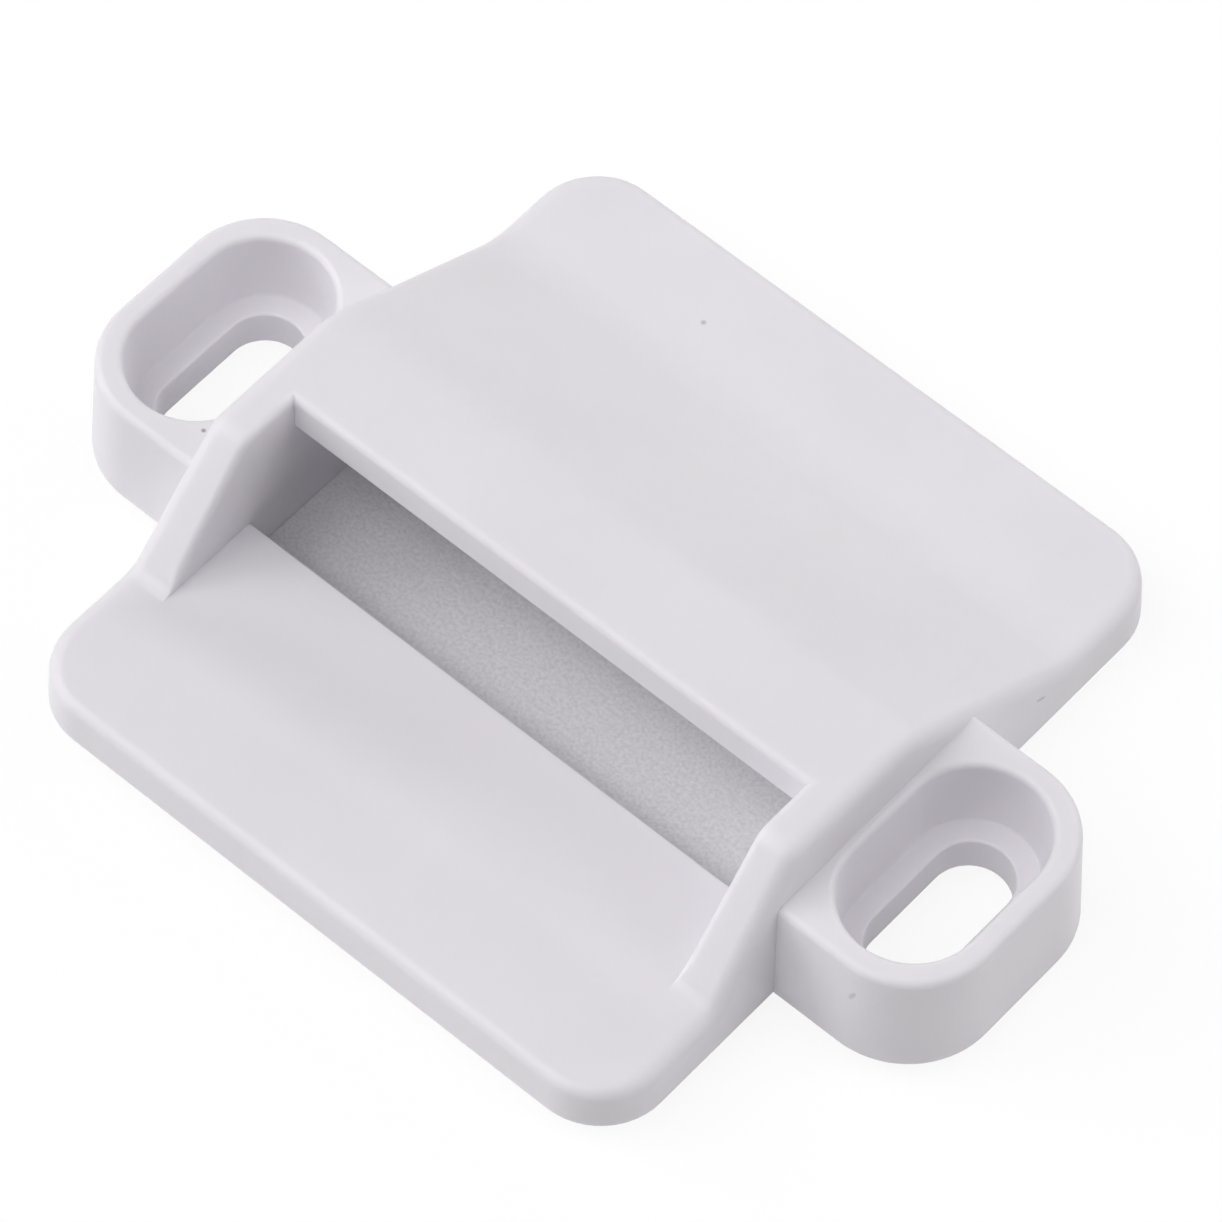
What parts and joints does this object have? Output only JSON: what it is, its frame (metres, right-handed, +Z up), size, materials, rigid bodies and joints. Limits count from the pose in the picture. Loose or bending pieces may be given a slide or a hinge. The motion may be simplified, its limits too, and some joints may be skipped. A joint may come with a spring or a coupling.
{
  "type": "cabinet safety lock strike",
  "caption": "Moulded strike for a cabinet safety lock: rounded plate with a hooded catch window, slotted screw ears and a foam adhesive pad with a release liner.",
  "frame": {"origin": "middle of the release liner's underside, which is the middle of the part's footprint", "axes": "+X from ear to ear, +Y from the catch's mouth to the back of the plate, +Z up out of the cabinet's surface"},
  "size_m": [0.0588, 0.044, 0.0115],
  "materials": {
    "moulded_abs": "satin",
    "acrylic_adhesive": "gloss",
    "pad_foam": "matte",
    "liner_paper": "satin"
  },
  "bodies": {
    "strike": {"keeper_body": "moulded_abs", "upper_adhesive": "acrylic_adhesive", "foam_carrier": "pad_foam", "lower_adhesive": "acrylic_adhesive"},
    "liner": {"release_liner": "liner_paper"}
  },
  "joints": [
    {"name": "liner_peel", "type": "slide", "parent": "strike", "child": "liner", "axis": [0, -1, 0], "range_m": [0, 0.045]}
  ]
}
